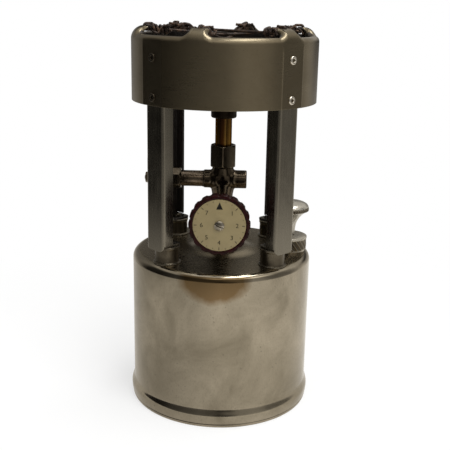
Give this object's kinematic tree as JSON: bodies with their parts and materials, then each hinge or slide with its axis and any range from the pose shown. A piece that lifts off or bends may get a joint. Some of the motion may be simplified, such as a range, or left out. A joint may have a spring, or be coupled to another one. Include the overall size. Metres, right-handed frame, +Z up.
{
  "type": "gasoline camping stove",
  "caption": "Pocket gasoline camping stove: round fuel tank, channel legs, burner drum with wire pot grate, front hand wheel, side pump and tip-cleaner lever.",
  "frame": {"origin": "centre of the tank's foot, on the ground", "axes": "+Z up the stove's axis, -Y to the front where the hand wheel is, +X to the pump"},
  "size_m": [0.105, 0.105, 0.2146],
  "materials": {
    "tank_nickel": "polished nickel plate, clouded with age",
    "post_nickel": "nickel plate, dulled",
    "leg_steel": "satin plated steel",
    "drum_steel": "brushed, heat-dulled plated steel",
    "rivet_nickel": "bright nickel",
    "burnt_wire": "fire-blackened wire",
    "burner_iron": "sooted casting",
    "tube_brass": "heat-tinted brass",
    "valve_bronze": "dark plated bronze",
    "inner_brass": "bare brass",
    "small_steel": "turned steel",
    "pump_nickel": "bright nickel plate",
    "wheel_bakelite": "dark maroon moulding",
    "dial_enamel": "cream lacquer",
    "seal_rubber": "black sealing material",
    "cup_leather": "oiled leather"
  },
  "bodies": {
    "stove": {"tank_shell": "tank_nickel", "tank_base": "tank_nickel", "leg_post_fl": "post_nickel", "leg_post_fr": "post_nickel", "leg_post_rl": "post_nickel", "leg_post_rr": "post_nickel", "filler_neck": "post_nickel", "leg_fl": "leg_steel", "leg_fr": "leg_steel", "leg_rl": "leg_steel", "leg_rr": "leg_steel", "burner_drum": "drum_steel", "drum_rivets": "rivet_nickel", "leg_screws": "rivet_nickel", "grate_wire_a": "burnt_wire", "grate_wire_b": "burnt_wire", "grate_wire_c": "burnt_wire", "burner_bowl": "burner_iron", "flame_rings_flat": "burner_iron", "flame_rings_slotted": "burner_iron", "burner_cap": "burner_iron", "mixing_tube": "tube_brass", "burner_screw": "tube_brass", "valve_body": "valve_bronze", "generator_nut": "valve_bronze", "valve_lock_nut": "valve_bronze", "end_plug": "valve_bronze", "packing_nut": "valve_bronze", "cleaner_tube": "valve_bronze", "cleaner_nut": "valve_bronze", "gas_tip": "inner_brass", "fuel_pickup": "inner_brass", "pump_barrel": "inner_brass", "check_valve": "inner_brass", "check_ball": "small_steel", "pump_cap": "pump_nickel", "stem_packing": "seal_rubber"},
    "wheel": {"valve_stem": "small_steel", "hand_wheel": "wheel_bakelite", "dial_plate": "dial_enamel", "wheel_screw": "rivet_nickel"},
    "cleaner": {"cleaner_shaft": "small_steel", "cleaner_lever": "small_steel", "lever_nut": "small_steel"},
    "needle": {"cleaning_needle": "small_steel"},
    "plunger": {"pump_rod": "small_steel", "pump_cup": "cup_leather", "cup_nut": "inner_brass"},
    "knob": {"pump_knob": "pump_nickel", "air_stem": "small_steel"},
    "filler_seal": {"filler_gasket": "seal_rubber"},
    "filler_top": {"filler_cap": "pump_nickel", "filler_screw": "pump_nickel"}
  },
  "joints": [
    {"name": "wheel_turn", "type": "hinge", "parent": "stove", "child": "wheel", "pos_m": [0, -0.042, 0.1124], "axis": [0, -1, 0], "range_deg": [0, 540]},
    {"name": "cleaner_turn", "type": "hinge", "parent": "stove", "child": "cleaner", "pos_m": [-0.0445, 0, 0.1284], "axis": [1, 0, 0], "range_deg": [0, 90]},
    {"name": "needle_lift", "type": "slide", "parent": "stove", "child": "needle", "axis": [0, 0, 1], "range_m": [0, 0.00119]},
    {"name": "pump_slide", "type": "slide", "parent": "stove", "child": "plunger", "axis": [0, 0, 1], "range_m": [0, 0.04]},
    {"name": "knob_turn", "type": "hinge", "parent": "plunger", "child": "knob", "pos_m": [0.039, 0, 0.11], "axis": [0, 0, 1], "range_deg": [0, 360]},
    {"name": "filler_lift", "type": "slide", "parent": "stove", "child": "filler_seal", "axis": [0, 0, 1], "range_m": [0, 0.0044]},
    {"name": "filler_turn", "type": "hinge", "parent": "filler_seal", "child": "filler_top", "pos_m": [0, 0.033, 0.095], "axis": [0, 0, 1], "range_deg": [0, 1080]}
  ],
  "couplings": [
    {"joint": "cleaner_turn", "follows": "needle_lift", "rad_per_m": 1309},
    {"joint": "filler_turn", "follows": "filler_lift", "rad_per_m": 4188.8}
  ]
}
